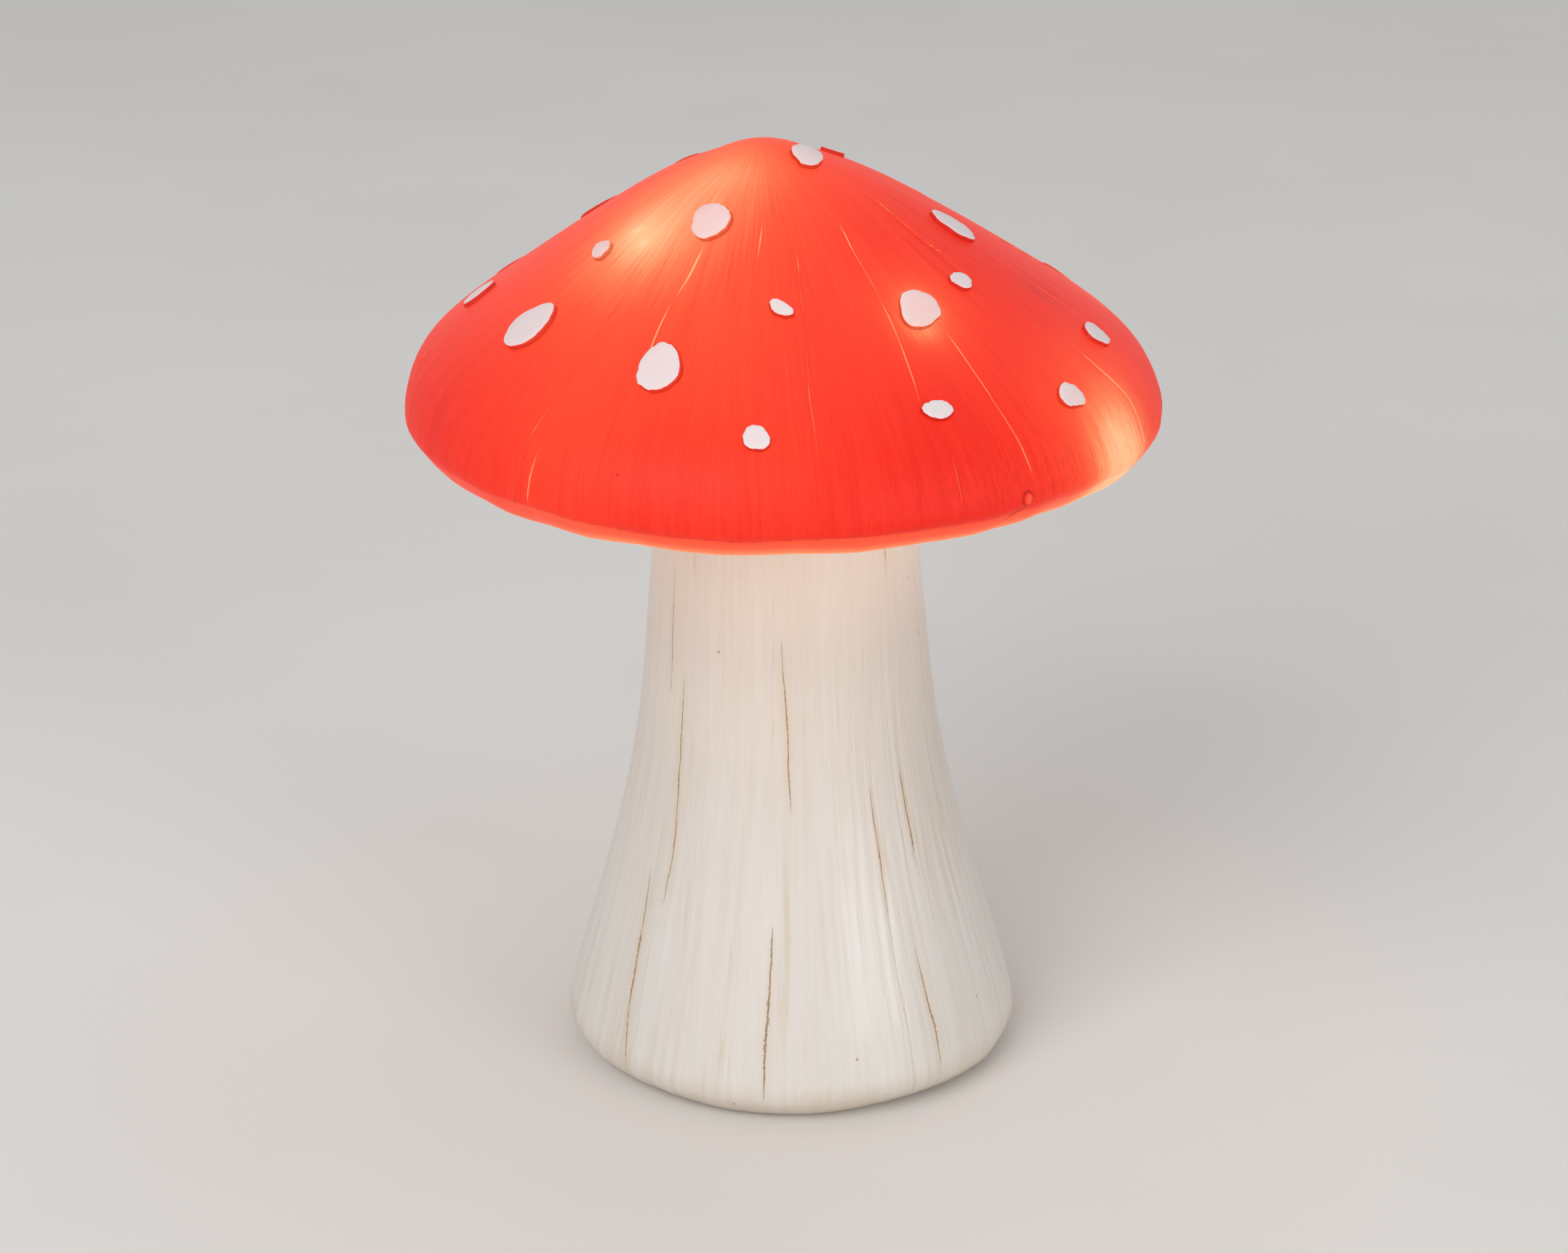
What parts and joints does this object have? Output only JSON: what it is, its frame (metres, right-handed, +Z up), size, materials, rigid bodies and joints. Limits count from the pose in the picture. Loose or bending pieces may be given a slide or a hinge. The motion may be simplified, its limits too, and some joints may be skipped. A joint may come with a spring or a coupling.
{
  "type": "mushroom lamp",
  "caption": "Battery lamp in the form of a mushroom: a hollow translucent cap with raised spots on a flared stem, with a battery lid and a slide switch under its foot.",
  "frame": {"origin": "middle of the flat ring that the foot stands on, at table level", "axes": "+Z up along the stem, -Y towards the viewer of the picture, +X to that viewer's right"},
  "size_m": [0.2852, 0.285, 0.3654],
  "materials": {
    "cap_resin": "translucent red polyresin, hand-brushed tint under a satin lacquer",
    "spot_paint": "hand-painted white tops on red sides",
    "underside_resin": "cream polyresin with cast gills",
    "stem_resin": "cream polyresin with a brown wash in its grooves and cracks",
    "screw_steel": "zinc-plated steel",
    "washer_steel": "zinc-plated steel",
    "grommet_rubber": "moulded rubber",
    "seal_rubber": "closed-cell foam rubber",
    "plate_plastic": "moulded ABS with a fine spark texture",
    "box_plastic": "moulded ABS",
    "battery_sleeve": "plain printed foil sleeve with a metal end",
    "contact_nickel": "nickel-plated spring steel",
    "insert_brass": "turned brass with knurling",
    "switch_can": "tinned steel",
    "knob_plastic": "moulded POM",
    "board_laminate": "glass laminate under green solder mask",
    "chip_epoxy": "moulded epoxy",
    "capacitor_sleeve": "shrunk sleeve on an aluminium can",
    "lead_red_pvc": "PVC insulation",
    "lead_black_pvc": "PVC insulation",
    "string_pvc": "clear PVC insulation",
    "lamp_epoxy": "clear epoxy lamp, warm white, lit",
    "collar_plastic": "moulded nylon"
  },
  "bodies": {
    "stand": {"cap_shell": "cap_resin", "cap_spots": "spot_paint", "cap_underside": "underside_resin", "stem_shell": "stem_resin", "cap_screws": "screw_steel", "base_screws": "screw_steel", "box_screws": "screw_steel", "board_screws": "screw_steel", "cap_washers": "washer_steel", "wire_grommet": "grommet_rubber", "base_seal": "seal_rubber", "base_plate": "plate_plastic", "battery_box": "box_plastic", "battery_left": "battery_sleeve", "battery_middle": "battery_sleeve", "battery_right": "battery_sleeve", "contact_plates": "contact_nickel", "contact_springs": "contact_nickel", "lid_inserts": "insert_brass", "switch_body": "switch_can", "timer_board": "board_laminate", "board_chip": "chip_epoxy", "board_resistors": "chip_epoxy", "board_capacitor": "capacitor_sleeve", "lead_red": "lead_red_pvc", "lead_black": "lead_black_pvc", "string_wire": "string_pvc", "string_lamps": "lamp_epoxy", "lamp_collars": "collar_plastic"},
    "lid": {"battery_lid": "plate_plastic", "lid_seal": "seal_rubber"},
    "front_screw": {"lid_screw_front": "screw_steel"},
    "back_screw": {"lid_screw_back": "screw_steel"},
    "knob": {"switch_knob": "knob_plastic"}
  },
  "joints": [
    {"name": "lid_lift", "type": "slide", "parent": "stand", "child": "lid", "axis": [0, 0, -1], "range_m": [0, 0.04]},
    {"name": "front_screw_turn", "type": "hinge", "parent": "lid", "child": "front_screw", "pos_m": [-0.012, -0.03655, 0.0028], "axis": [0, 0, -1], "continuous": true},
    {"name": "back_screw_turn", "type": "hinge", "parent": "lid", "child": "back_screw", "pos_m": [-0.012, 0.03655, 0.0028], "axis": [0, 0, -1], "continuous": true},
    {"name": "knob_slide", "type": "slide", "parent": "stand", "child": "knob", "axis": [0, 1, 0], "range_m": [0, 0.004]}
  ]
}
